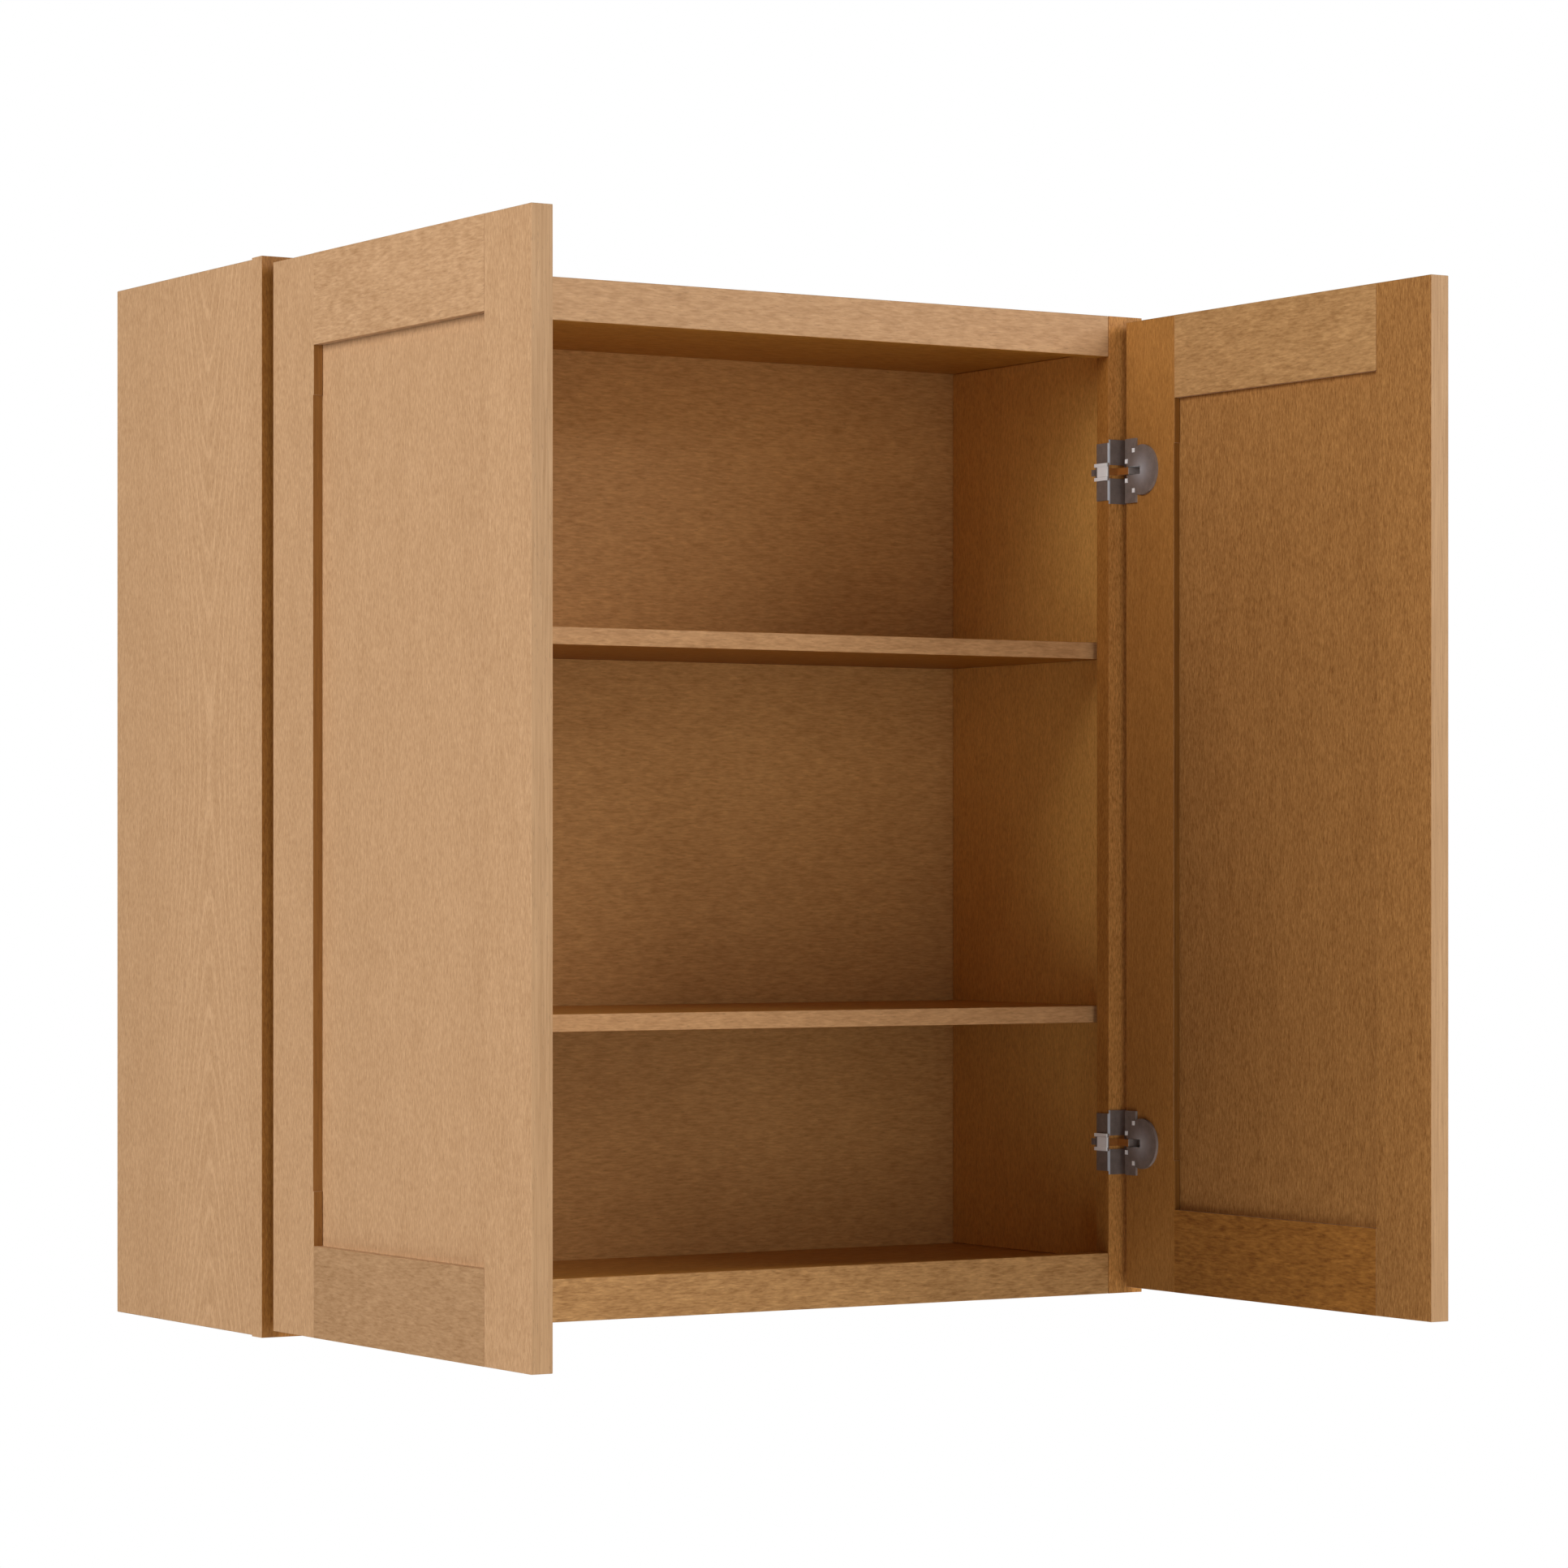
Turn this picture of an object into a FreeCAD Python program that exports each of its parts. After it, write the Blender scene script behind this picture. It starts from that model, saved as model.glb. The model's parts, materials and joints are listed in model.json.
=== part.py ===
"""Framed wall cabinet with two full-overlay frame-and-panel doors and two loose shelves.

Millimetres, +Z up, +X to the right seen from the room, +Y into the wall. The origin is on the wall,
at the centre of the upper hanging rail's rear face. Both doors are modelled open at a right angle.
While the pieces are built, heights are measured from the underside of the cabinet; save() lowers
them to the origin. Right-hand pieces are built first and mirrored for the left.
"""
import FreeCAD, Part
import math
import os

os.makedirs("parts", exist_ok=True)
Vector = FreeCAD.Vector

# Cabinet box
cabinet_width = 914.4
cabinet_height = 914.4
cabinet_depth = 304.8
board_thickness = 15.875
end_recess = 13.5
dado_depth = 6.35
back_thickness = 3.175
rail_board_thickness = 12.7
hanging_rail_height = 76.2
fit_gap = 0.1

# Face frame
frame_thickness = 19.05
frame_stile_width = 38.1
frame_rail_width = 38.1
frame_overhang = 4.7625
frame_tenon_length = 12.7
frame_tenon_thickness = 6.35
frame_tenon_shoulder = 6.35

# Shelves and the pins that carry them, each in an open notch in the shelf's end
shelf_thickness = 15.875
shelf_heights = {"lower": 252.8, "upper": 594.4}
shelf_front_gap = 8.55
shelf_back_gap = 2.0
shelf_end_gap = 1.6
support_setback = 45.0
support_pin_radius = 2.5
support_pin_inset = 9.0
support_pin_reach = 8.0
notch_gap = 0.4

# Doors
door_thickness = 19.05
door_reveal = 6.35
door_centre_gap = 3.175
door_gap = 4.8
door_stile_width = 76.2
door_rail_width = 76.2
door_panel_thickness = 4.0
door_panel_recess = 8.7
door_groove_depth = 10.0
door_panel_float = 1.5
stile_relief = 1.0
stile_relief_from_top = 41.7
stile_relief_from_bottom = 45.5

# Hinges: heights, and the pivot from the door's hinge edge and from its back face
hinge_from_top = 145.6
hinge_from_bottom = 141.4
pivot_inset = 6.775
pivot_depth = 11.7
widest_opening = 105.0

# Hinge cup, let into the back of the door
bore_radius = 17.5
bore_inset = 2.8
cup_gap = 0.1
cup_wall = 0.6
cup_floor = 0.65
channel_gap = 0.7
wing_thickness = 2.4
wing_inset = 1.5
wing_width = 16.5
wing_height = 60.0
dome_radius = 23.4
dome_inset = 4.2
dome_reach = 50.8
dome_rim = 2.7
dome_crown = 3.4
lug_size = 4.0
lug_rise = 0.7
lug_places = ((4.2, 9.0), (15.4, 18.7))
wing_screw_inset = 9.0
wing_screw_spread = 24.5

# Hinge arm and mounting plate, fixed to the frame
arm_width = 6.5
arm_thickness = 1.3
arm_clearance = 0.15
floor_clearance = 0.25
neck_clearance = 0.6
knuckle_radius = 2.1
pin_radius = 1.0
pin_running_gap = 0.05
pin_length = 16.0
mount_plate = 1.0
mount_height = 60.0
mount_reach = 21.4
mount_bridge = 3.2
mount_leg_height = 53.6
mount_leg_depth = 18.0
mount_bend_radius = 1.9
slot_height = 12.7
channel_height = 16.2
channel_wall = 3.2
channel_lip = 1.4
channel_depth = 19.5
channel_side_gap = 0.2
hook_depth = 5.0
hook_height = 6.0
hook_rise = 2.4
adjuster_thickness = 1.8
adjuster_length = 15.5
adjuster_front = 1.2
spring_thickness = 0.6
spring_foot = 3.6
spring_gap = 0.6
spring_setback = 3.5
arm_bend_radius = 0.9

# Screws
screw_radius = 1.75
screw_head_radius = 3.4
screw_head_height = 1.7
frame_screw_length = 19.0
cup_screw_length = 12.0
hole_gap = 0.05

# Planes and sizes that follow
half_width = cabinet_width / 2
frame_front = -cabinet_depth
frame_back = frame_front + frame_thickness
side_outer = half_width - frame_overhang
side_inner = side_outer - board_thickness
back_rear = -rail_board_thickness
back_front = back_rear - back_thickness
top_low = cabinet_height - end_recess - board_thickness
bottom_high = end_recess + board_thickness
mount_level = top_low - hanging_rail_height / 2
door_edge = half_width - door_reveal
door_back = frame_front - door_gap
door_front = door_back - door_thickness
door_free_edge = door_centre_gap / 2
door_low = door_reveal
door_high = cabinet_height - door_reveal
pivot = Vector(door_edge - pivot_inset, door_back - pivot_depth, 0)
hinge_heights = {"lower": hinge_from_bottom, "upper": cabinet_height - hinge_from_top}
bore_centre = bore_inset + bore_radius
cup_radius = bore_radius - cup_gap
cup_inner_radius = cup_radius - cup_wall
wall_at_arm = bore_centre - math.sqrt(cup_inner_radius ** 2 - (arm_width / 2) ** 2)
opened_sine = math.sin(math.radians(widest_opening))
opened_cosine = math.cos(math.radians(widest_opening))
arm_rise = arm_clearance - (pivot_inset - wall_at_arm) * opened_sine - pivot_depth * opened_cosine
cup_inner_depth = pivot_depth + max(knuckle_radius, arm_rise + arm_thickness) + floor_clearance
cup_depth = cup_inner_depth + cup_floor
corner_swing = math.hypot(pivot_inset, pivot_depth)
neck_near = door_reveal + pivot_inset + corner_swing + neck_clearance
neck_far = neck_near + arm_thickness
arm_swing = math.hypot(neck_far - door_reveal - pivot_inset, arm_rise + arm_thickness)
channel_end = pivot_inset + arm_swing + spring_gap + spring_foot


def block(x, y, z):
    """A box between (low, high) pairs along X, Y and Z."""
    size = [high - low for low, high in (x, y, z)]
    return Part.makeBox(*size, Vector(x[0], y[0], z[0]))


def grown(span, amount):
    """A (low, high) pair widened by an amount at both ends."""
    return (span[0] - amount, span[1] + amount)


def mirrored(shape):
    """The left-hand twin of a right-hand piece."""
    return shape.mirror(Vector(0, 0, 0), Vector(1, 0, 0))


def opened(shape):
    """A piece of the closed right door, swung open about its hinge pins."""
    turned = shape.copy()
    turned.rotate(pivot, Vector(0, 0, 1), 90)
    return turned


def save(name, shape):
    """Write one sub-part, lowered so that the origin is at the wall mount."""
    placed = shape.copy()
    placed.translate(Vector(0, 0, -mount_level))
    placed.exportStep("parts/" + name + ".step")


# Cabinet box

def side_panel():
    """Right side board, dadoed for the top, bottom and back, and drilled for the shelf pins."""
    shape = block((side_inner, side_outer), (frame_back, 0), (0, cabinet_height))
    dado = (side_inner, side_inner + dado_depth)
    for low in (end_recess, top_low):
        span = grown((low, low + board_thickness), fit_gap)
        shape = shape.cut(block(dado, (frame_back, 0), span))
    groove = grown((back_front, back_rear), fit_gap)
    shape = shape.cut(block(dado, groove, (end_recess, cabinet_height - end_recess)))
    for y, low in support_places():
        shape = shape.cut(support_pin(y, low, hole_gap))
    return shape


def end_panel(low, groove_side):
    """Top or bottom board between the sides, grooved on its inner face for the back panel."""
    reach = side_inner + dado_depth - fit_gap
    high = low + board_thickness
    shape = block((-reach, reach), (frame_back, 0), (low, high))
    groove_z = (low, low + dado_depth) if groove_side == "under" else (high - dado_depth, high)
    groove = block((-reach, reach), grown((back_front, back_rear), fit_gap), groove_z)
    return shape.cut(groove)


def back_panel():
    """Thin back, held in grooves on all four sides."""
    tongue = dado_depth - fit_gap
    reach = side_inner + tongue
    return block((-reach, reach), (back_front, back_rear), (bottom_high - tongue, top_low + tongue))


def hanging_rail(low):
    """Board behind the back panel that the wall screws pass through."""
    return block((-side_inner, side_inner), (back_rear, 0), (low, low + hanging_rail_height))


# Face frame

def rail_low(position):
    """Height of the lower edge of the top or bottom frame rail."""
    return 0 if position == "bottom" else cabinet_height - frame_rail_width


def frame_tenon(position, gap):
    """Tenon at the right end of a frame rail, or its mortise when grown by a gap."""
    middle = (frame_front + frame_back) / 2
    low = rail_low(position)
    start = half_width - frame_stile_width
    y = grown((middle - frame_tenon_thickness / 2, middle + frame_tenon_thickness / 2), gap)
    z = grown((low + frame_tenon_shoulder, low + frame_rail_width - frame_tenon_shoulder), gap)
    return block((start, start + frame_tenon_length + gap), y, z)


def frame_stile():
    """Right upright of the face frame, mortised for both rails and drilled for the hinges."""
    x = (half_width - frame_stile_width, half_width)
    shape = block(x, (frame_front, frame_back), (0, cabinet_height))
    for position in ("top", "bottom"):
        shape = shape.cut(frame_tenon(position, fit_gap))
    for height in hinge_heights.values():
        shape = shape.cut(frame_screw_shank(height, hole_gap))
    return shape


def frame_rail(position):
    """Top or bottom rail of the face frame, with a tenon at each end."""
    reach = half_width - frame_stile_width
    low = rail_low(position)
    shape = block((-reach, reach), (frame_front, frame_back), (low, low + frame_rail_width))
    tenon = frame_tenon(position, 0)
    return shape.fuse(tenon).fuse(mirrored(tenon)).removeSplitter()


# Shelves

def shelf_span():
    """The (front, rear) planes of a shelf."""
    return (frame_back + shelf_front_gap, back_front - shelf_back_gap)


def support_places():
    """Right-hand pin positions, as (Y, shelf underside) pairs."""
    front, rear = shelf_span()
    depths = (front + support_setback, rear - support_setback)
    return [(y, low) for low in shelf_heights.values() for y in depths]


def support_pin(y, low, gap):
    """Round pin pushed into the right side, level with the shelf's underside, or its grown hole."""
    start = Vector(side_inner - support_pin_reach, y, low + support_pin_radius)
    length = support_pin_reach + support_pin_inset + gap
    return Part.makeCylinder(support_pin_radius + gap, length, start, Vector(1, 0, 0))


def shelf_supports(low):
    """The four pins of one shelf."""
    right = [support_pin(y, level, 0) for y, level in support_places() if level == low]
    return Part.makeCompound(right + [mirrored(shape) for shape in right])


def shelf(low):
    """Loose shelf, lying on its four pins, which its end notches hide."""
    reach = side_inner - shelf_end_gap
    shape = block((-reach, reach), shelf_span(), (low, low + shelf_thickness))
    notch_x = (side_inner - support_pin_reach - notch_gap, reach)
    for y, level in support_places():
        if level == low:
            notch_y = grown((y - support_pin_radius, y + support_pin_radius), notch_gap)
            notch = block(notch_x, notch_y, (low, low + 2 * support_pin_radius))
            shape = shape.cut(notch).cut(mirrored(notch))
    return shape


# Doors, built closed

def groove_span(gap):
    """The (low, high) Y pair of the door panel, widened by a gap for its groove."""
    low = door_front + door_panel_recess
    return grown((low, low + door_panel_thickness), gap)


def door_stile(x, inner_edge, direction):
    """Upright of a door; its inner edge, towards the panel, is grooved and slightly relieved.

    The direction is +1 for a groove cut towards +X and -1 for one cut towards -X.
    """
    shape = block(x, (door_front, door_back), (door_low, door_high))
    groove_x = sorted((inner_edge, inner_edge + direction * door_groove_depth))
    shape = shape.cut(block(groove_x, groove_span(fit_gap), (door_low, door_high)))
    relief_x = sorted((inner_edge, inner_edge + direction * stile_relief))
    relief_low = door_low + door_rail_width + stile_relief_from_bottom
    relief_high = door_high - door_rail_width - stile_relief_from_top
    return shape.cut(block(relief_x, (door_front, door_back), (relief_low, relief_high)))


def hinge_stile():
    """Upright on the hinge side, bored for the cups and their screws."""
    inner_edge = door_edge - door_stile_width
    shape = door_stile((inner_edge, door_edge), inner_edge, 1)
    for height in hinge_heights.values():
        shape = shape.cut(cup_bore(height))
        for place in wing_screw_places(height):
            shape = shape.cut(cup_screw(place, hole_gap))
    return shape


def free_stile():
    """Upright on the side that meets the other door."""
    inner_edge = door_free_edge + door_stile_width
    return door_stile((door_free_edge, inner_edge), inner_edge, -1)


def door_rail(low, groove_low):
    """Cross rail of a door, with a tongue at each end and a groove for the panel."""
    left = door_free_edge + door_stile_width
    right = door_edge - door_stile_width
    shape = block((left, right), (door_front, door_back), (low, low + door_rail_width))
    tongue_x = grown((left, right), door_groove_depth - fit_gap)
    shape = shape.fuse(block(tongue_x, groove_span(0), (low, low + door_rail_width)))
    groove_z = (groove_low, groove_low + door_groove_depth)
    return shape.cut(block(tongue_x, groove_span(fit_gap), groove_z)).removeSplitter()


def door_panel():
    """Flat centre panel, floating in the grooves of the stiles and rails."""
    reach = door_groove_depth - door_panel_float
    x = grown((door_free_edge + door_stile_width, door_edge - door_stile_width), reach)
    z = grown((door_low + door_rail_width, door_high - door_rail_width), reach)
    return block(x, groove_span(0), z)


# Hinges. Plans are drawn in u, inwards from the frame's outer edge, and v, forwards of its face.

def hinge_block(u, v, z, height):
    """A box between (low, high) pairs along u and v, and along Z from the hinge's centre."""
    x = (half_width - u[1], half_width - u[0])
    y = (frame_front - v[1], frame_front - v[0])
    return block(x, y, (height + z[0], height + z[1]))


def centred(size):
    """The (low, high) pair of a size centred on zero."""
    return (-size / 2, size / 2)


def post(u, v, radius, length, height):
    """Upright cylinder centred on a hinge's height."""
    start = Vector(half_width - u, frame_front - v, height - length / 2)
    return Part.makeCylinder(radius, length, start)


def is_upright_at(edge, corners):
    """True for a straight upright edge at one of the (u, v) corners."""
    if not isinstance(edge.Curve, Part.Line) or abs(edge.tangentAt(edge.FirstParameter).z) < 0.999:
        return False
    middle = edge.CenterOfMass
    u = half_width - middle.x
    v = frame_front - middle.y
    return any(math.hypot(u - corner_u, v - corner_v) < 0.01 for corner_u, corner_v in corners)


def rounded_bends(shape, corners, radius):
    """The shape with its upright edges at the (u, v) corners rounded."""
    bends = [edge for edge in shape.Edges if is_upright_at(edge, corners)]
    return shape.makeFillet(radius, bends)


def hinge_mount(height):
    """Bent plate: over the stile's face, with a leg each side of the slot along its inner edge."""
    edge = frame_stile_width
    outer = edge + mount_plate
    leg_v = (-mount_leg_depth, mount_plate)
    face = hinge_block((edge - mount_reach, edge), (0, mount_plate), centred(mount_height), height)
    leg = hinge_block((edge, outer), leg_v, centred(mount_leg_height), height)
    shape = face.fuse(leg).removeSplitter()
    shape = rounded_bends(shape, [(outer, mount_plate)], mount_bend_radius)
    slot_u = (edge - mount_reach + mount_bridge, edge)
    shape = shape.cut(hinge_block(slot_u, (0, mount_plate), centred(slot_height), height))
    leg_slot = centred(channel_height + 2 * channel_side_gap)
    return shape.cut(hinge_block((edge, outer), leg_v, leg_slot, height)).removeSplitter()


def hinge_arm(height):
    """Arm from a channel on the stile's edge, through the slot and the cup's mouth, to the pin."""
    edge = frame_stile_width
    outer = edge + arm_thickness
    pivot_u = door_reveal + pivot_inset
    pivot_v = door_gap + pivot_depth
    low_v = pivot_v + arm_rise
    high_v = low_v + arm_thickness
    narrow = centred(arm_width)
    web = hinge_block((edge, outer), (-channel_depth, arm_thickness), centred(channel_height), height)
    foot = hinge_block((neck_near, outer), (0, arm_thickness), narrow, height)
    neck = hinge_block((neck_near, neck_far), (0, high_v), narrow, height)
    reach = hinge_block((pivot_u, neck_far), (low_v, high_v), narrow, height)
    knuckle = post(pivot_u, pivot_v, knuckle_radius, arm_width, height)
    shape = web.fuse([foot, neck, reach, knuckle]).removeSplitter()
    corners = [(neck_far, high_v), (outer, arm_thickness)]
    shape = rounded_bends(shape, corners, arm_bend_radius)
    for side in (-1, 1):
        lip_z = sorted((side * channel_height / 2, side * (channel_height / 2 - channel_wall)))
        lip = hinge_block((outer, outer + channel_lip), (-channel_depth, 0), lip_z, height)
        shape = shape.fuse(lip)
    hook_v = (-channel_depth - hook_depth, -channel_depth)
    shape = shape.fuse(hinge_block((edge, edge + hook_rise), hook_v, centred(hook_height), height))
    shape = shape.cut(post(pivot_u, pivot_v, pin_radius + pin_running_gap, pin_length, height))
    return shape.cut(frame_screw_shank(height, hole_gap)).removeSplitter()


def adjuster(height):
    """Sliding block in the arm's channel, clamped by the frame screw."""
    base = frame_stile_width + arm_thickness
    v = (adjuster_front - adjuster_length, adjuster_front)
    width = centred(channel_height - 2 * channel_wall - 2 * fit_gap)
    shape = hinge_block((base, base + adjuster_thickness), v, width, height)
    return shape.cut(frame_screw(height, hole_gap))


def frame_screw_head(height):
    """Centre of a frame screw's head, on the middle of the adjuster."""
    u = frame_stile_width + arm_thickness + adjuster_thickness
    v = adjuster_front - adjuster_length / 2
    return Vector(half_width - u, frame_front - v, height)


def frame_screw_shank(height, gap):
    """Shank of a frame screw along X, or its hole when grown by a gap."""
    start = frame_screw_head(height)
    return Part.makeCylinder(screw_radius + gap, frame_screw_length, start, Vector(1, 0, 0))


def frame_screw(height, gap):
    """Countersunk screw through the adjuster and the arm into the stile's edge."""
    start = frame_screw_head(height)
    cone = Part.makeCone(
        screw_head_radius + gap, screw_radius + gap, screw_head_height, start, Vector(1, 0, 0))
    return cone.fuse(frame_screw_shank(height, gap)).removeSplitter()


def cup_bore(height):
    """Round pocket in the back of the door."""
    start = Vector(door_edge - bore_centre, door_back, height)
    return Part.makeCylinder(bore_radius, cup_depth + cup_gap, start, Vector(0, -1, 0))


def wing_screw_places(height):
    """Centres of the two cup screws on the cup's wing."""
    x = door_edge - wing_screw_inset
    y = door_back + wing_thickness
    return [Vector(x, y, height + side * wing_screw_spread) for side in (-1, 1)]


def cup_screw(place, gap):
    """Countersunk screw through the cup's wing into the door, or its hole when grown by a gap."""
    inwards = Vector(0, -1, 0)
    head = Part.makeCone(screw_head_radius + gap, screw_radius + gap, screw_head_height, place, inwards)
    shank = Part.makeCylinder(screw_radius + gap, cup_screw_length, place, inwards)
    return head.fuse(shank).removeSplitter()


def dome(height):
    """Shallow domed flange over the cup, flat on the side of the door's hinge edge."""
    drop = dome_crown - dome_rim
    sphere_radius = (dome_radius ** 2 + drop ** 2) / (2 * drop)
    rise = math.sqrt(sphere_radius ** 2 - dome_radius ** 2 / 4) - sphere_radius + dome_crown
    centre = Vector(door_edge - dome_reach + dome_radius, door_back, height)
    crown = centre + Vector(0, dome_crown, 0)
    halfway = centre + Vector(dome_radius / 2, rise, 0)
    foot = centre + Vector(dome_radius, 0, 0)
    rim = foot + Vector(0, dome_rim, 0)
    corners = (crown, centre, foot, rim)
    lines = [Part.makeLine(start, end) for start, end in zip(corners, corners[1:])]
    curve = Part.Arc(rim, halfway, crown).toShape()
    shape = Part.Face(Part.Wire(lines + [curve])).revolve(centre, Vector(0, 1, 0), 360)
    kept_u = (door_reveal + dome_inset, door_reveal + dome_reach)
    kept_v = (door_gap - dome_crown, door_gap)
    return shape.common(hinge_block(kept_u, kept_v, centred(2 * dome_radius), height))


def lug(inset, offset, height):
    """Small square lug on the wing, which holds the plate to the cup."""
    u = (door_reveal + inset - lug_size / 2, door_reveal + inset + lug_size / 2)
    v = (door_gap - wing_thickness - lug_rise, door_gap - wing_thickness)
    return hinge_block(u, v, (offset - lug_size / 2, offset + lug_size / 2), height)


def hinge_cup(height):
    """Cup with a channel for the arm, under a domed flange and a wing screwed to the door's back."""
    centre = door_reveal + bore_centre
    mouth = Vector(door_edge - bore_centre, door_back, height)
    inwards = Vector(0, -1, 0)
    body = Part.makeCylinder(cup_radius, cup_depth, mouth, inwards)
    wing_u = (door_reveal + wing_inset, door_reveal + wing_inset + wing_width)
    wing = hinge_block(wing_u, (door_gap - wing_thickness, door_gap), centred(wing_height), height)
    lugs = [lug(inset, side * offset, height) for inset, offset in lug_places for side in (-1, 1)]
    shape = body.fuse([wing, dome(height)] + lugs).removeSplitter()
    above_v = (door_gap - dome_crown, door_gap)
    slot_u = (wing_u[0], door_reveal + dome_inset)
    shape = shape.cut(hinge_block(slot_u, above_v, centred(slot_height), height))
    channel_z = centred(arm_width + 2 * channel_gap)
    mouth_u = (wing_u[0], door_reveal + channel_end)
    shape = shape.cut(hinge_block(mouth_u, above_v, channel_z, height))
    channel_u = (centre - cup_inner_radius, door_reveal + channel_end)
    channel = hinge_block(channel_u, (door_gap, door_gap + cup_inner_depth), channel_z, height)
    hollow = Part.makeCylinder(cup_inner_radius, cup_inner_depth, mouth, inwards)
    shape = shape.cut(hollow.common(channel))
    pivot_u = door_reveal + pivot_inset
    shape = shape.cut(post(pivot_u, door_gap + pivot_depth, pin_radius, pin_length, height))
    for place in wing_screw_places(height):
        shape = shape.cut(cup_screw(place, hole_gap))
    return shape.removeSplitter()


def hinge_pin(height):
    """Pin that the arm turns on, held in the walls of the cup."""
    return post(door_reveal + pivot_inset, door_gap + pivot_depth, pin_radius, pin_length, height)


def hinge_spring(height):
    """Bent leaf spring at the inner end of the cup's channel."""
    end = door_reveal + channel_end
    floor_v = door_gap + cup_inner_depth
    width = centred(arm_width)
    foot = hinge_block((end - spring_foot, end), (floor_v - spring_thickness, floor_v), width, height)
    blade_v = (door_gap + spring_setback, floor_v)
    blade = hinge_block((end - spring_thickness, end), blade_v, width, height)
    return foot.fuse(blade).removeSplitter()


# Everything, written out

def save_cabinet():
    """The fixed box, the face frame and the shelves."""
    side = side_panel()
    stile = frame_stile()
    save("right_side_panel", side)
    save("left_side_panel", mirrored(side))
    save("top_panel", end_panel(top_low, "under"))
    save("bottom_panel", end_panel(end_recess, "over"))
    save("back_panel", back_panel())
    save("upper_hanging_rail", hanging_rail(top_low - hanging_rail_height))
    save("lower_hanging_rail", hanging_rail(bottom_high))
    save("right_frame_stile", stile)
    save("left_frame_stile", mirrored(stile))
    for position in ("top", "bottom"):
        save(position + "_frame_rail", frame_rail(position))
    for name, low in shelf_heights.items():
        save(name + "_shelf", shelf(low))
        save(name + "_shelf_supports", shelf_supports(low))


def save_doors():
    """Both doors, open."""
    pieces = {
        "hinge_stile": hinge_stile(),
        "free_stile": free_stile(),
        "top_rail": door_rail(door_high - door_rail_width, door_high - door_rail_width),
        "bottom_rail": door_rail(door_low, door_low + door_rail_width - door_groove_depth),
        "panel": door_panel(),
    }
    for name, closed in pieces.items():
        save("right_door_" + name, opened(closed))
        save("left_door_" + name, mirrored(opened(closed)))


def save_hinges():
    """Four hinges: their fixed pieces, and the pieces that swing with the doors."""
    fixed = {"mount": hinge_mount, "arm": hinge_arm, "adjuster": adjuster}
    swinging = {"cup": hinge_cup, "pin": hinge_pin, "spring": hinge_spring}
    for level, height in hinge_heights.items():
        right = {name: make(height) for name, make in fixed.items()}
        right.update({name: opened(make(height)) for name, make in swinging.items()})
        for name, shape in right.items():
            save("right_" + level + "_hinge_" + name, shape)
            save("left_" + level + "_hinge_" + name, mirrored(shape))


def save_screws():
    """The hinge screws: those in the frame, and those in each door."""
    right = [frame_screw(height, 0) for height in hinge_heights.values()]
    save("hinge_frame_screws", Part.makeCompound(right + [mirrored(shape) for shape in right]))
    places = [place for height in hinge_heights.values() for place in wing_screw_places(height)]
    door_screws = Part.makeCompound([opened(cup_screw(place, 0)) for place in places])
    save("right_door_hinge_screws", door_screws)
    save("left_door_hinge_screws", mirrored(door_screws))


save_cabinet()
save_doors()
save_hinges()
save_screws()
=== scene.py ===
"""Looks of the hanging wall cabinet: stained, lacquered wood and compact steel hinges.

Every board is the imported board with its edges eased, so its joints stay. The grain is upright on
the side panels, stiles and door panels, and runs across the other boards.
"""
import json
import math
import random

import bmesh
import bpy
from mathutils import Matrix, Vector

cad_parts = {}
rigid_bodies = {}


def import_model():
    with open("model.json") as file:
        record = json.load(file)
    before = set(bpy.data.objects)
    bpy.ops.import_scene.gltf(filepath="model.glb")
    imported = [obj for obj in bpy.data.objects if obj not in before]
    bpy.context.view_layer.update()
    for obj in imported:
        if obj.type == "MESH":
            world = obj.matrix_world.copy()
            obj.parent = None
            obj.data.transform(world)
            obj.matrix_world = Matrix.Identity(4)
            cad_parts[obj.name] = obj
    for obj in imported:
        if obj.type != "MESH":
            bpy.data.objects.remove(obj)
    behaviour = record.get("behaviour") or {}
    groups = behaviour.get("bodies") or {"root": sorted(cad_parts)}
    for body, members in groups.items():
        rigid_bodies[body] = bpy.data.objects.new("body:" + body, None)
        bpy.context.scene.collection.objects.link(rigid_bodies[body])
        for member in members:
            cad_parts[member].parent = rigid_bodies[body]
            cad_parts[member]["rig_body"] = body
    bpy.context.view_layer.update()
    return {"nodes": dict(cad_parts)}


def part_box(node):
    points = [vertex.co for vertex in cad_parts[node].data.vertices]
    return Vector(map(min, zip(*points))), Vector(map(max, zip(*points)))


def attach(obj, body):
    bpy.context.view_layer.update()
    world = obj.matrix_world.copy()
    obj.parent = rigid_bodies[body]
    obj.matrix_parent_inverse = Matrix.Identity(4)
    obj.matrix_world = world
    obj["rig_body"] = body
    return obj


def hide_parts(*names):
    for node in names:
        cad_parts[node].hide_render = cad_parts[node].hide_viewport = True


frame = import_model()
nodes = frame["nodes"]

# Eased edges: radius, and the shortest edge that is eased, in metres
BOARD_EASING = (0.0009, 0.006)
STEEL_EASING = (0.00022, 0.0012)
WELD_DISTANCE = 0.000002
FLAT_ANGLE = math.radians(0.5)      # faces closer than this are joined into one
CORNER_ANGLE = math.radians(40)     # edges sharper than this are eased
CURVE_ANGLE = math.radians(32)      # edges blunter than this are shaded as a curve

# Directions, and the cosines above which a board's or a cup's face looks in one of them
FRONT = (0, -1, 0)
UP = (0, 0, 1)
DOWN = (0, 0, -1)
FACING = 0.8
RIM_FACING = 0.5

# Wood colours, linear: the mean tone, and how far each channel swings from dark to light grain
WOOD = (0.500, 0.292, 0.150)
WOOD_SWING = (0.22, 0.27, 0.34)

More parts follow.
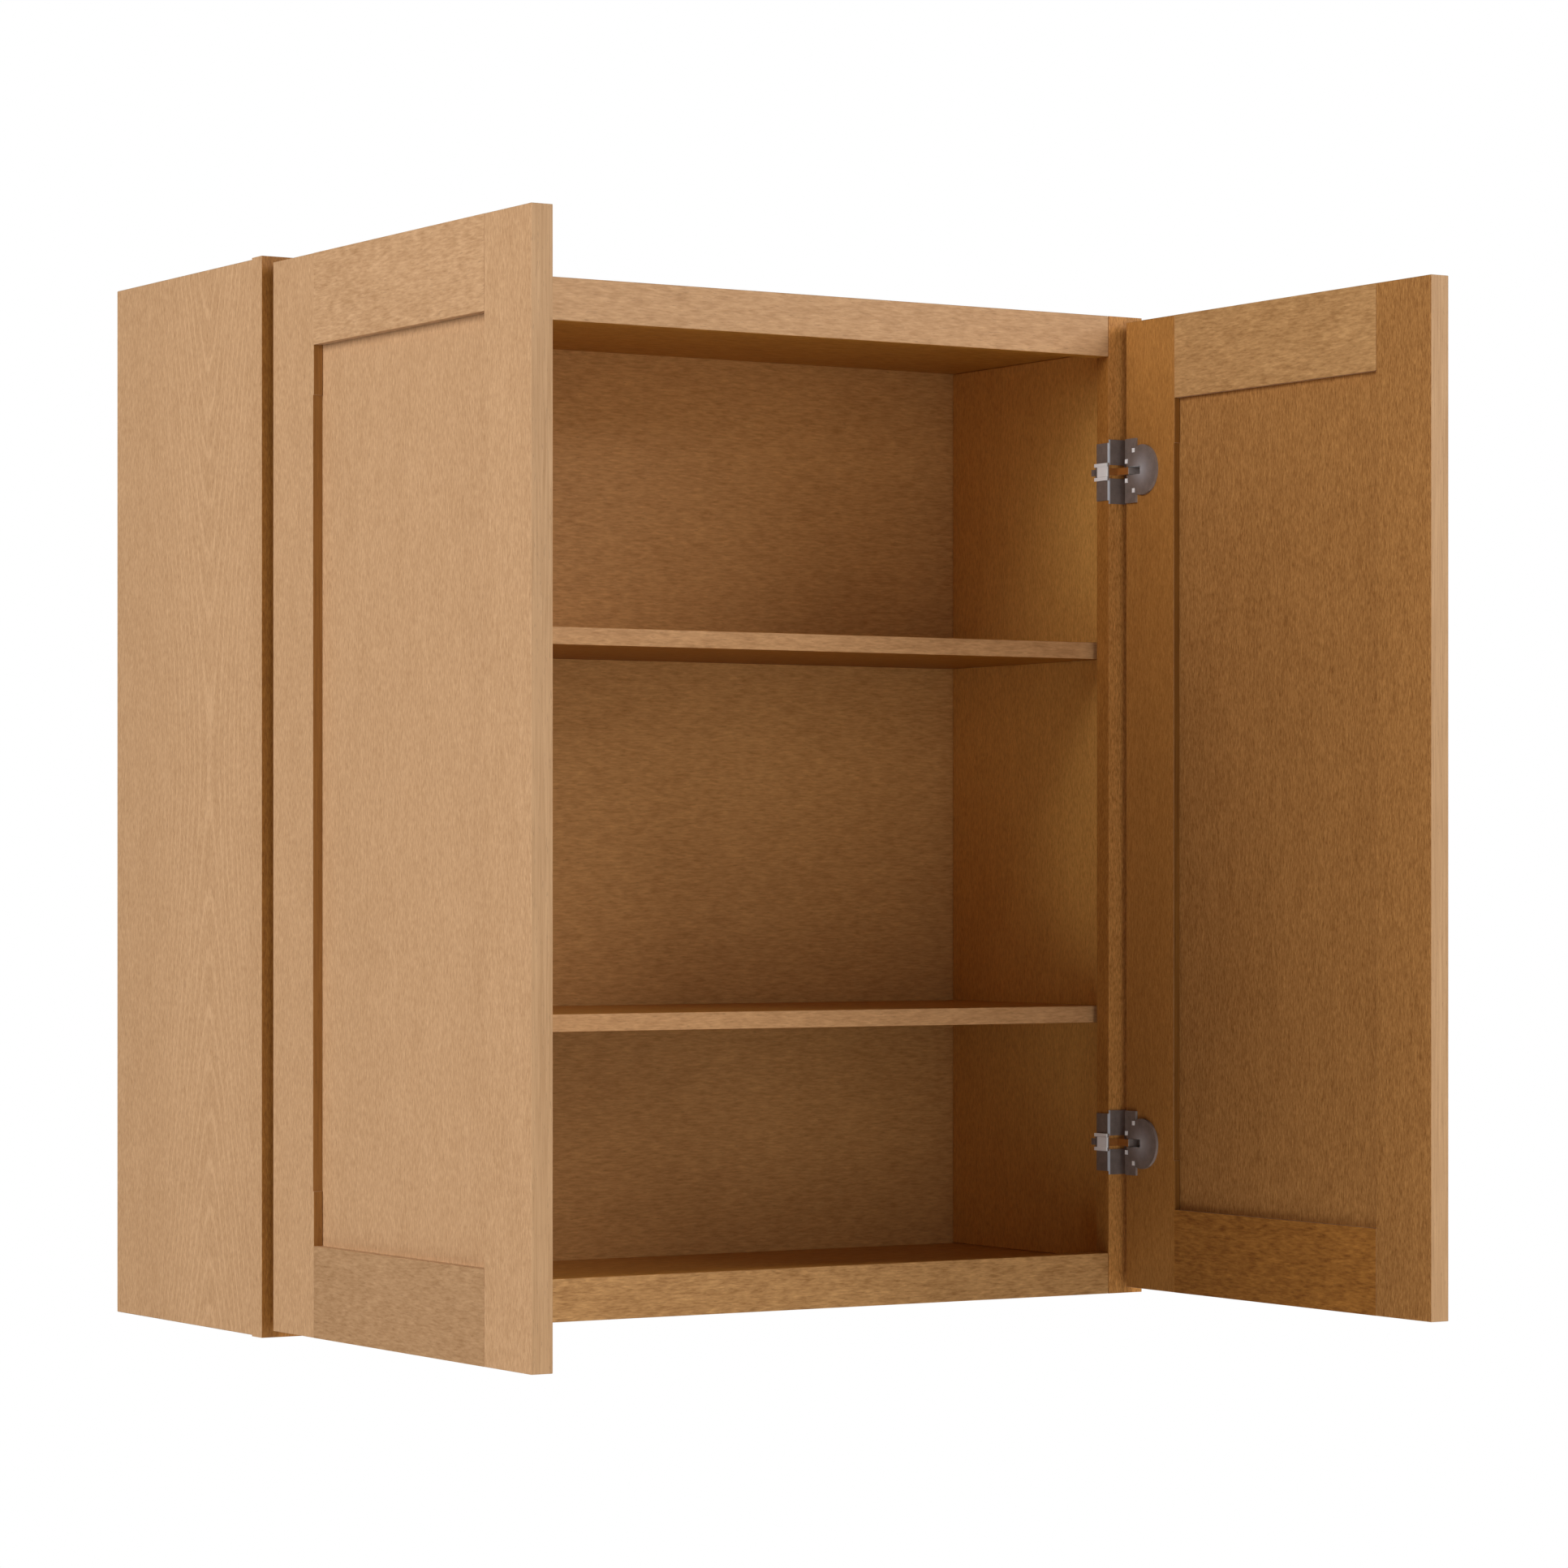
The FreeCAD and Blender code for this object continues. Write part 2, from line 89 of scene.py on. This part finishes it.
# Wood figures: layers of (noise scale per metre, stretch along the grain, weight)
FIGURES = {
    "upright": ((820, 4.2, 1.75), (300, 7.0, 0.45), (60, 4.0, 0.28), (9, 3.0, 0.18)),
    "mottled": ((560, 6.0, 1.45), (210, 3.5, 1.00), (60, 2.0, 0.45), (9, 2.5, 0.25)),
    "edge": ((820, 40.0, 1.50), (300, 40.0, 1.10), (9, 3.0, 0.30)),
}
PORE_SCALE = 1100
PORE_STRETCH = 8
WOOD_RELIEF = 0.00006               # depth of the grain, in metres

# Painted light and shade: factors on the wood colour of the faces that look one way, and one on
# the strength of their figure. The inside of the cabinet, the stiles of its frame and the backs of
# its doors carry painted shade, more orange and mostly deeper than the plain outer faces; the
# doors' front edges, the shelf fronts and the top frame rail carry painted light. The fronts of
# the doors' bottom rails are a little darker.
PLAIN = ((1.0, 1.0, 1.0), 1.0)
DOOR_BACK_SHADE = ((0.73, 0.57, 0.31), 1.9)
HINGE_STILE_BACK_SHADE = ((0.79, 0.58, 0.25), 1.2)
DOOR_RAIL_BACK_SHADE = {"top": ((0.92, 0.85, 0.64), 1.3), "bottom": ((0.66, 0.45, 0.16), 1.9)}
DOOR_RAIL_FRONT = {"top": PLAIN, "bottom": ((0.80, 0.78, 0.74), 1.0)}
DOOR_EDGE_LIGHT = ((1.05, 1.05, 1.01), 0.7)
RECESS_WALL_SHADE = {"left": ((0.62, 0.47, 0.22), 1.0), "right": ((0.48, 0.32, 0.10), 1.0)}
STILE_FRONT_SHADE = {"left": ((0.69, 0.48, 0.18), 1.4), "right": ((1.06, 0.80, 0.38), 1.8)}
STILE_INNER_SHADE = ((0.78, 0.54, 0.20), 1.5)
RAIL_FRONT_LIGHT_AND_SHADE = {"top": ((1.06, 1.03, 0.95), 0.85), "bottom": ((0.96, 0.84, 0.56), 1.6)}
BACK_LIGHT_AND_SHADE = ((1.09, 0.93, 0.55), 1.05)
SIDE_INNER_LIGHT_AND_SHADE = ((1.40, 1.26, 0.62), 1.1)
PANEL_UNDER_SHADE = ((0.88, 0.66, 0.18), 1.2)
SHELF_UNDER_SHADE = ((0.54, 0.30, 0.03), 1.2)
SHELF_FRONT_LIGHT = ((1.10, 1.00, 0.82), 1.0)
TOPSIDE_LIGHT_AND_SHADE = ((1.10, 0.85, 0.32), 1.2)

# Arched growth lines of a side panel, in metres; they wander by noises of (scale, amount)
ARCH_REACH = 0.12                   # how far to each side of their middle the lines go
ARCH_SPACING = 0.036
ARCH_SLOPE = 4.5
ARCH_ROUNDING = 0.022
ARCH_STRAIGHT = 0.16
ARCH_WANDER = ((7, 1.6), (38, 0.5), (160, 0.16))
ARCH_WEIGHT = 0.28
ARCH_INSET = 0.33                   # share of the panel's depth, from its front edge
ARCH_RISE = 0.031178                # above the panel's middle

# Steel tones, linear: dark and light
BRONZE = ((0.160, 0.125, 0.109), (0.225, 0.178, 0.158))
# Painted light: the lighter tone of the cups' rims where they face the front, also given to the
# arms where they lie in the cups
RIM_LIGHT = ((0.27, 0.225, 0.205), (0.34, 0.285, 0.26))
BRIGHT = ((0.93, 0.93, 0.95), (0.97, 0.97, 0.98))
# Painted shade: the arms, between the stile's edge and the cups, are the dark brown of wood in
# shade
ARM_SHADE_BROWN = ((0.26, 0.085, 0.012), (0.36, 0.125, 0.020))
ZINC = ((0.25, 0.24, 0.23), (0.36, 0.35, 0.34))
# Painted highlight at the middle of each cup's dome
DOME_HIGHLIGHT = (0.46, 0.45, 0.48)
# Painted highlight along the bend of the mount plates
BEND_HIGHLIGHT = (0.47, 0.48, 0.52)
STEEL_RELIEF = 0.00001              # depth of the brushing, in metres

# Material slots of a hinge piece, after its own finish: bright nickel, which is also painted light
# on the cups' channel walls, bronze, and the rims' painted light
NICKEL_AND_LIGHT_SLOT, BRONZE_SLOT, RIM_LIGHT_SLOT = 1, 2, 3

# Hinge sizes, in metres. Lugs are (inset from the wing's edge, distance from the cup's middle).
DOME_RADIUS = 0.0234
DOME_HEIGHT = 0.0034                # above the door's back
LUG_BASE = 0.00242                  # above the door's back, and just above the wing
LUGS = ((0.0027, 0.0090), (0.0139, 0.0187))
LUG_REACH = 0.0022
CHANNEL_DEPTH = 0.0003              # below the door's back, where the channel's walls begin
LIP_INSET = 0.0004
LIP_OFFSET = 0.0048
# Where the painted highlight along the mount plates' bend lies
BEND_DEPTH = 0.0004                 # behind the stile's front
BEND_WIDTH = 0.0011                 # past the stile's inner edge
BEND_BLUR = 0.0002
SQUARE_ON = 0.9995                  # the largest part of a normal that lies along an axis

# Surroundings: soft lights are name, place, size in metres, watts; all are aimed at the cabinet
AMBIENT = 0.03
FLOOR_GLOW = 0.14
FLOOR_SIDES = 96
FLOOR_RADIUS = 3.5
FLOOR_PLACE = (0, -1.5, -2.2)
FLOOR_COLOUR = (0.88, 0.88, 0.87)
LIGHT_TARGET = Vector((0.0, -0.4, -0.4))
LIGHTS = (
    ("left", (-4.5, -1.0, 1.2), 3.4, 224.0),
    ("front_right", (3.0, -4.0, 2.0), 2.5, 144.0),
    ("front_low", (0.0, -5.0, -0.4), 3.6, 60.0),
)

# Camera: placed from the lower front corner of the left frame stile
CAMERA_OFFSET = Vector((-1.8944, -3.8919, 0.3876))
CAMERA_TURN = 0.55508
CAMERA_LENS = 117.02
CAMERA_SENSOR = 36.0
CAMERA_SHIFT = 0.0607


# Node helpers

def new_material(name):
    """A new node material: returns it, its node tree and its shader."""
    material = bpy.data.materials.new(name)
    material.use_nodes = True
    return material, material.node_tree, material.node_tree.nodes["Principled BSDF"]


def link(tree, source, target):
    """Join one node's output to another's input."""
    tree.links.new(source, target)


def noise(tree, coordinates, scale, detail=2.0, roughness=0.5, distortion=0.0):
    """A noise texture's value over the given coordinates."""
    node = tree.nodes.new("ShaderNodeTexNoise")
    node.inputs["Scale"].default_value = scale
    node.inputs["Detail"].default_value = detail
    node.inputs["Roughness"].default_value = roughness
    node.inputs["Distortion"].default_value = distortion
    link(tree, coordinates, node.inputs["Vector"])
    return node.outputs["Fac"]


def math_node(tree, operation, first, second=0.0):
    """A maths node; each input is a socket or a number, and some operations use only the first."""
    node = tree.nodes.new("ShaderNodeMath")
    node.operation = operation
    for socket, value in zip(node.inputs, (first, second)):
        if isinstance(value, (int, float)):
            socket.default_value = value
        else:
            link(tree, value, socket)
    return node.outputs[0]


def remap(tree, value, low, high, to_low, to_high):
    """A value moved from one range to another and held inside it."""
    node = tree.nodes.new("ShaderNodeMapRange")
    link(tree, value, node.inputs["Value"])
    ends = {"From Min": low, "From Max": high, "To Min": to_low, "To Max": to_high}
    for name, number in ends.items():
        node.inputs[name].default_value = number
    return node.outputs["Result"]


def mix_colour(tree, factor, first, second):
    """Two colours mixed by a socket; each is a socket or an RGB triple.

    The Mix node has sockets of every kind under the same names, so the colours go in by number.
    """
    node = tree.nodes.new("ShaderNodeMix")
    node.data_type = "RGBA"
    link(tree, factor, node.inputs[0])
    for index, value in ((6, first), (7, second)):
        if isinstance(value, tuple):
            node.inputs[index].default_value = (*value, 1.0)
        else:
            link(tree, value, node.inputs[index])
    return node.outputs[2]


def mapped(tree, offset=(0, 0, 0), scales=(1, 1, 1)):
    """Object coordinates scaled along each axis and then moved by an offset."""
    place = tree.nodes.new("ShaderNodeTexCoord")
    mapping = tree.nodes.new("ShaderNodeMapping")
    mapping.inputs["Location"].default_value = offset
    mapping.inputs["Scale"].default_value = scales
    link(tree, place.outputs["Object"], mapping.inputs["Vector"])
    return mapping.outputs["Vector"]


def split_axes(tree, centre=(0, 0, 0)):
    """The X, Y and Z outputs of object coordinates, measured from a centre."""
    split = tree.nodes.new("ShaderNodeSeparateXYZ")
    link(tree, mapped(tree, tuple(-c for c in centre)), split.inputs["Vector"])
    return split.outputs


def along(axis, ratio):
    """Scales that stretch a pattern by a ratio along one axis."""
    return tuple(1.0 / ratio if i == "xyz".index(axis) else 1.0 for i in range(3))


def rounded_length(tree, value, rounding):
    """The size of a signed value, rounded off near zero."""
    square = math_node(tree, "MULTIPLY", value, value)
    return math_node(tree, "SQRT", math_node(tree, "ADD", square, rounding ** 2))


def bump(tree, shader, height, distance):
    """A bump of the given depth in metres."""
    node = tree.nodes.new("ShaderNodeBump")
    node.inputs["Distance"].default_value = distance
    node.inputs["Strength"].default_value = 1.0
    link(tree, height, node.inputs["Height"])
    link(tree, node.outputs["Normal"], shader.inputs["Normal"])


# Materials

def arches(tree, centre):
    """Thin light growth lines, mirrored about a centre and arched above and below it."""
    axes = split_axes(tree, centre)
    aside = math_node(tree, "ABSOLUTE", axes["Y"])
    across = rounded_length(tree, axes["Y"], ARCH_ROUNDING)
    upward = rounded_length(tree, axes["Z"], ARCH_STRAIGHT)
    phase = math_node(tree, "SUBTRACT", upward, math_node(tree, "MULTIPLY", across, ARCH_SLOPE))
    phase = math_node(tree, "DIVIDE", phase, ARCH_SPACING)
    for scale, amount in ARCH_WANDER:
        wander = noise(tree, mapped(tree, scales=along("z", 3)), scale, detail=1)
        phase = math_node(tree, "ADD", phase, math_node(tree, "MULTIPLY", wander, amount))
    wave = math_node(tree, "COSINE", math_node(tree, "MULTIPLY", phase, 2 * math.pi))
    lines = remap(tree, wave, 0.45, 1.0, 0.0, 1.0)
    fading = remap(tree, aside, 0.5 * ARCH_REACH, ARCH_REACH, 1.0, 0.0)
    return math_node(tree, "MULTIPLY", lines, fading)


def wood(name, grain, seed, painted_light_and_shade, layers, arch_centre=None):
    """Stained, lacquered wood with its grain along one axis, tinted by painted light and shade.

    Each layer is a noise (scale per metre, stretch along the grain, weight); the first is the fine
    fibre, which also shapes the surface. Dark pores lie between the fibres.
    """
    shade, strength = painted_light_and_shade
    draw = random.Random(seed)
    offset = tuple(draw.uniform(-3, 3) for _ in range(3))
    material, tree, shader = new_material(name)
    values = [noise(tree, mapped(tree, offset, along(grain, stretch)), scale,
                    detail=2, roughness=0.6, distortion=0.15)
              for scale, stretch, _ in layers]
    tone = 0.5
    for value, (_, _, weight) in zip(values, layers):
        swing = math_node(tree, "MULTIPLY", math_node(tree, "SUBTRACT", value, 0.5), weight)
        tone = math_node(tree, "ADD", swing, tone)
    if arch_centre is not None:
        lines = math_node(tree, "MULTIPLY", arches(tree, arch_centre), ARCH_WEIGHT)
        tone = math_node(tree, "ADD", tone, lines)
    mean = tuple(c * s for c, s in zip(WOOD, shade))
    dark = tuple(c * (1 - strength * swing) for c, swing in zip(mean, WOOD_SWING))
    light = tuple(c * (1 + strength * swing) for c, swing in zip(mean, WOOD_SWING))
    colour = mix_colour(tree, remap(tree, tone, 0.0, 1.0, 0.0, 1.0), dark, light)
    pores = noise(tree, mapped(tree, offset, along(grain, PORE_STRETCH)), PORE_SCALE, detail=1)
    pore_mask = remap(tree, pores, 0.64, 0.76, 0.0, 0.35)
    colour = mix_colour(tree, pore_mask, colour, tuple(c * 0.5 for c in dark))
    link(tree, colour, shader.inputs["Base Color"])
    link(tree, remap(tree, values[0], 0.3, 0.7, 0.56, 0.44), shader.inputs["Roughness"])
    shader.inputs["Specular IOR Level"].default_value = 0.22
    shader.inputs["Coat Weight"].default_value = 0.04
    shader.inputs["Coat Roughness"].default_value = 0.32
    relief = math_node(tree, "SUBTRACT", values[0], math_node(tree, "MULTIPLY", pore_mask, 0.8))
    bump(tree, shader, relief, WOOD_RELIEF)
    return material


def steel(name, tones, metallic, roughness, painted_highlight=None):
    """Formed steel: cloudy tone and fine brushing, with an optional painted highlight: a mask and
    the tone under it.
    """
    material, tree, shader = new_material(name)
    brushing = noise(tree, mapped(tree, scales=(1, 1, 12)), 900, detail=2, roughness=0.6)
    clouds = noise(tree, mapped(tree), 140, detail=3, roughness=0.6)
    value = math_node(tree, "ADD", math_node(tree, "MULTIPLY", brushing, 0.35),
                      math_node(tree, "MULTIPLY", clouds, 0.65))
    colour = mix_colour(tree, remap(tree, value, 0.35, 0.65, 0.0, 1.0), *tones)
    if painted_highlight:
        mask, highlight_tone = painted_highlight
        colour = mix_colour(tree, mask(tree), colour, highlight_tone)
    link(tree, colour, shader.inputs["Base Color"])
    link(tree, remap(tree, value, 0.35, 0.65, roughness + 0.05, roughness - 0.05),
         shader.inputs["Roughness"])
    shader.inputs["Metallic"].default_value = metallic
    bump(tree, shader, brushing, STEEL_RELIEF)
    return material


def over_domes(front, heights, radius):
    """A mask for the painted highlight on the cups' domes: one at each dome's centre, falling to
    zero at its radius.
    """
    middle, half_gap = sum(heights) / 2, (max(heights) - min(heights)) / 2

    def mask(tree):
        axes = split_axes(tree, (0, front + radius, middle))
        height = math_node(tree, "SUBTRACT", math_node(tree, "ABSOLUTE", axes["Z"]), half_gap)
        square = math_node(tree, "ADD", math_node(tree, "MULTIPLY", height, height),
                           math_node(tree, "MULTIPLY", axes["Y"], axes["Y"]))
        near = remap(tree, math_node(tree, "SQRT", square), 0.0, radius, 1.0, 0.0)
        return math_node(tree, "MULTIPLY", near, near)
    return mask


def along_bend(front, reach):
    """A mask for the painted highlight along a plate's bend: in front of a plane and nearer to the
    middle than a distance.
    """
    def mask(tree):
        axes = split_axes(tree)
        distance = math_node(tree, "ABSOLUTE", axes["X"])
        near = remap(tree, distance, reach - BEND_BLUR, reach + BEND_BLUR, 1.0, 0.0)
        forward = remap(tree, axes["Y"], front - BEND_BLUR, front + BEND_BLUR, 1.0, 0.0)
        return math_node(tree, "MULTIPLY", near, forward)
    return mask


# Pieces

def eased(node, easing):
    """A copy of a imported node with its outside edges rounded, standing for that node."""
    radius, shortest = easing
    source = nodes[node]
    mesh = source.data.copy()
    mesh.materials.clear()
    work = bmesh.new()
    work.from_mesh(mesh)
    bmesh.ops.remove_doubles(work, verts=work.verts, dist=WELD_DISTANCE)
    bmesh.ops.dissolve_limit(work, angle_limit=FLAT_ANGLE, verts=work.verts, edges=work.edges)
    sharp = [edge for edge in work.edges if edge.is_manifold and edge.is_convex
             and edge.calc_face_angle() > CORNER_ANGLE and edge.calc_length() > shortest]
    bmesh.ops.bevel(work, geom=sharp, offset=radius, offset_type="OFFSET", segments=2, profile=0.5,
                    affect="EDGES", clamp_overlap=True)
    for face in work.faces:
        face.smooth = True
    work.to_mesh(mesh)
    work.free()
    mesh.set_sharp_from_angle(angle=CURVE_ANGLE)
    piece = bpy.data.objects.new(node + "_eased", mesh)
    flat = piece.modifiers.new("flat_faces", "WEIGHTED_NORMAL")
    flat.keep_sharp = True
    bpy.context.scene.collection.objects.link(piece)
    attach(piece, source["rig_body"])
    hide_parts(node)
    return piece


def middle_height(node):
    """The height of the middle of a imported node."""
    low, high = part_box(node)
    return (low[2] + high[2]) / 2


def mark(piece, chosen, index):
    """Give the faces that a test chooses another of the piece's materials."""
    for face in piece.data.polygons:
        if chosen(face):
            face.material_index = index


def looks(direction, limit=FACING):
    """A test for faces that look in a direction."""
    return lambda face: face.normal.dot(Vector(direction)) > limit


def board(node, grain, seed, figure, faces=(), arch_centre=None):
    """One board, eased and given its own piece of wood.

    Each entry of faces is (direction, painted light and shade, figure) for the faces that look
    that way.
    """
    piece = eased(node, BOARD_EASING)
    name = "wood_" + node
    piece.data.materials.append(wood(name, grain, seed, PLAIN, FIGURES[figure], arch_centre))
    for index, (direction, painted_light_and_shade, face_figure) in enumerate(faces, 1):
        finish = wood("%s_%d" % (name, index), grain, seed, painted_light_and_shade, FIGURES[face_figure])
        piece.data.materials.append(finish)
        mark(piece, looks(direction), index)
    return piece


def is_outside_room(face):
    """True behind the back panel, above the top panel or below the bottom panel."""
    behind = face.center[1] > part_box("back_panel")[0][1]
    above = face.center[2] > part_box("top_panel")[1][2]
    below = face.center[2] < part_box("bottom_panel")[0][2]
    return behind or above or below


def cabinet_boards():
    """The boards of the cabinet, and its shelves."""
    # Shelves: painted light on their fronts, painted light and shade on their tops, painted shade
    # below
    shelf = [(FRONT, SHELF_FRONT_LIGHT, "mottled"), (UP, TOPSIDE_LIGHT_AND_SHADE, "mottled"),
             (DOWN, SHELF_UNDER_SHADE, "mottled")]
    crosswise = {
        "top_panel": [(DOWN, PANEL_UNDER_SHADE, "mottled")],
        "bottom_panel": [(UP, TOPSIDE_LIGHT_AND_SHADE, "mottled")],
        "back_panel": [(FRONT, BACK_LIGHT_AND_SHADE, "mottled")],
        "upper_hanging_rail": [],
        "lower_hanging_rail": [],
        "top_frame_rail": [(FRONT, RAIL_FRONT_LIGHT_AND_SHADE["top"], "mottled"), (DOWN, PANEL_UNDER_SHADE, "mottled")],
        "bottom_frame_rail": [(FRONT, RAIL_FRONT_LIGHT_AND_SHADE["bottom"], "mottled"), (UP, TOPSIDE_LIGHT_AND_SHADE, "mottled")],
        "upper_shelf": shelf,
        "lower_shelf": shelf,
    }
    for seed, (node, faces) in enumerate(crosswise.items()):
        board(node, "x", seed, "mottled", faces)
    for side, inward, seed in (("left", (1, 0, 0), 20), ("right", (-1, 0, 0), 40)):
        panel = side + "_side_panel"
        low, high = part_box(panel)
        centre = (0.0, low[1] + ARCH_INSET * (high[1] - low[1]), middle_height(panel) + ARCH_RISE)
        piece = board(panel, "z", seed, "upright", [(inward, SIDE_INNER_LIGHT_AND_SHADE, "upright")], centre)
        # Faces outside the cabinet's room keep the plain wood, without the inner faces' painted
        # light and shade
        mark(piece, is_outside_room, 0)
        board(side + "_frame_stile", "z", seed + 1, "upright",
              [(FRONT, STILE_FRONT_SHADE[side], "upright"), (inward, STILE_INNER_SHADE, "upright")])


def door_boards():
    """The boards of both doors, which stand open with their backs facing each other."""
    for side, back, seed in (("left", (1, 0, 0), 22), ("right", (-1, 0, 0), 42)):
        away = (-back[0], 0, 0)
        # Backs take painted shade; the free stile's front edge takes painted light, the front
        # faces in the recess painted shade
        uprights = (
            ("hinge_stile", HINGE_STILE_BACK_SHADE, RECESS_WALL_SHADE[side]),
            ("panel", DOOR_BACK_SHADE, RECESS_WALL_SHADE[side]),
            ("free_stile", DOOR_BACK_SHADE, DOOR_EDGE_LIGHT),
        )
        for part, back_shade, edge_light_and_shade in uprights:
            board("%s_door_%s" % (side, part), "z", seed, "upright",
                  [(back, back_shade, "upright"), (FRONT, edge_light_and_shade, "edge")])
            seed += 1
        # Rail backs take painted shade; the bottom rail's front is a little darker
        for rail in ("top", "bottom"):
            board("%s_door_%s_rail" % (side, rail), "y", seed, "mottled",
                  [(back, DOOR_RAIL_BACK_SHADE[rail], "mottled"),
                   (away, DOOR_RAIL_FRONT[rail], "mottled")])
            seed += 1


def hardware():
    """Hinges, screws and shelf pins."""
    stile_edge, stile_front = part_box("right_frame_stile")[0][:2]
    cup_edge, cup_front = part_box("right_upper_hinge_cup")[0][:2]
    heights = [middle_height("right_%s_hinge_cup" % level) for level in ("upper", "lower")]
    dome_highlight_mask = over_domes(cup_front, heights, DOME_RADIUS)
    bend_highlight_mask = along_bend(stile_front + BEND_DEPTH, stile_edge + BEND_WIDTH)
    bronze = steel("hinge_bronze", BRONZE, 0.1, 0.42)
    rim_light = steel("hinge_rim_light", RIM_LIGHT, 0.1, 0.42)
    nickel = steel("hinge_nickel", BRIGHT, 0.05, 0.35)
    finishes = {
        "mount": steel("hinge_mount", BRONZE, 0.1, 0.42, (bend_highlight_mask, BEND_HIGHLIGHT)),
        "arm": steel("hinge_arm", ARM_SHADE_BROWN, 0.0, 0.45),
        "cup": steel("hinge_cup", BRONZE, 0.1, 0.40, (dome_highlight_mask, DOME_HIGHLIGHT)),
        "adjuster": nickel,
        "pin": nickel,
        "spring": nickel,
        "supports": steel("pin_zinc", ZINC, 0.8, 0.35),
    }
    for name in sorted(nodes):
        part = name.rsplit("_", 1)[1]
        if part in ("mount", "arm", "cup", "adjuster"):
            piece = eased(name, STEEL_EASING)
            for finish in (finishes[part], nickel, bronze, rim_light):
                piece.data.materials.append(finish)
            if part == "cup":
                mark(piece, looks(FRONT, RIM_FACING), RIM_LIGHT_SLOT)
                mark(piece, on_lug_or_inside(name), NICKEL_AND_LIGHT_SLOT)
            elif part == "arm":
                mark(piece, beyond(cup_edge), RIM_LIGHT_SLOT)
                mark(piece, within(stile_edge), BRONZE_SLOT)
                mark(piece, on_lip(stile_edge, middle_height(name)), NICKEL_AND_LIGHT_SLOT)
        elif part in ("pin", "spring", "screws", "supports"):
            finish = bronze if name.endswith("door_hinge_screws") else finishes.get(part, nickel)
            for slot in nodes[name].material_slots:
                slot.material = finish


def on_lug_or_inside(node):
    """A test for the square lugs on a cup's wing, and for the walls of its channel, whose bright
    nickel is painted light in the channel's shade.
    """
    low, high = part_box(node)
    middle = middle_height(node)
    inward = -1 if high[0] > 0 else 1
    door_back = (low[0] if inward < 0 else high[0]) - inward * DOME_HEIGHT

    def chosen(face):
        x, y, z = face.center
        above = (x - door_back) * inward
        on_lug = any(abs(high[1] - inset - y) < LUG_REACH
                     and abs(abs(z - middle) - offset) < LUG_REACH for inset, offset in LUGS)
        square = max(abs(part) for part in face.normal) > SQUARE_ON
        return above < -CHANNEL_DEPTH or (above > LUG_BASE and on_lug and square)
    return chosen


def beyond(distance):
    """A test for faces further from the cabinet's middle plane than a distance."""
    return lambda face: abs(face.center[0]) > distance


def within(distance):
    """A test for faces nearer to the cabinet's middle plane than a distance."""
    return lambda face: abs(face.center[0]) < distance


def on_lip(stile_edge, middle):
    """A test for the raised lips along the channel of an arm with this middle height."""
    return lambda face: (abs(face.center[0]) < stile_edge - LIP_INSET
                         and abs(face.center[2] - middle) > LIP_OFFSET)


# Surroundings

def studio():
    """A pale floor in a surround that is white to look at and throws little light of its own."""
    world = bpy.data.worlds.new("studio")
    bpy.context.scene.world = world
    world.use_nodes = True
    tree = world.node_tree
    background = tree.nodes["Background"]
    background.inputs["Color"].default_value = (1.0, 1.0, 1.0, 1.0)
    rays = tree.nodes.new("ShaderNodeLightPath")
    seen = remap(tree, rays.outputs["Is Camera Ray"], 0.0, 1.0, AMBIENT, 1.0)
    link(tree, seen, background.inputs["Strength"])
    bpy.ops.mesh.primitive_circle_add(vertices=FLOOR_SIDES, radius=FLOOR_RADIUS, fill_type="NGON",
                                      location=FLOOR_PLACE)
    floor = bpy.context.object
    floor.name = "studio_floor"
    material, _, shader = new_material("studio_floor")
    shader.inputs["Base Color"].default_value = (*FLOOR_COLOUR, 1.0)
    shader.inputs["Roughness"].default_value = 0.8
    shader.inputs["Emission Color"].default_value = (1.0, 1.0, 1.0, 1.0)
    shader.inputs["Emission Strength"].default_value = FLOOR_GLOW
    floor.data.materials.append(material)


def area_light(name, place, size, energy):
    """A square soft light aimed at the cabinet."""
    data = bpy.data.lights.new(name, "AREA")
    data.shape = "SQUARE"
    data.size = size
    data.energy = energy
    light = bpy.data.objects.new(name, data)
    bpy.context.scene.collection.objects.link(light)
    light.location = place
    light.rotation_euler = (LIGHT_TARGET - Vector(place)).to_track_quat("-Z", "Y").to_euler()


def camera():
    """The photograph's view of the cabinet."""
    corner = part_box("left_frame_stile")[0]
    data = bpy.data.cameras.new("camera")
    data.sensor_width = CAMERA_SENSOR
    data.lens = CAMERA_LENS
    data.shift_y = CAMERA_SHIFT
    data.clip_end = 100.0
    view = bpy.data.objects.new("camera", data)
    bpy.context.scene.collection.objects.link(view)
    view.location = corner + CAMERA_OFFSET
    view.rotation_euler = (math.pi / 2, 0.0, -CAMERA_TURN)
    bpy.context.scene.camera = view


cabinet_boards()
door_boards()
hardware()
studio()
for name, place, size, energy in LIGHTS:
    area_light(name, place, size, energy)
camera()
bpy.context.scene.view_settings.view_transform = "Standard"
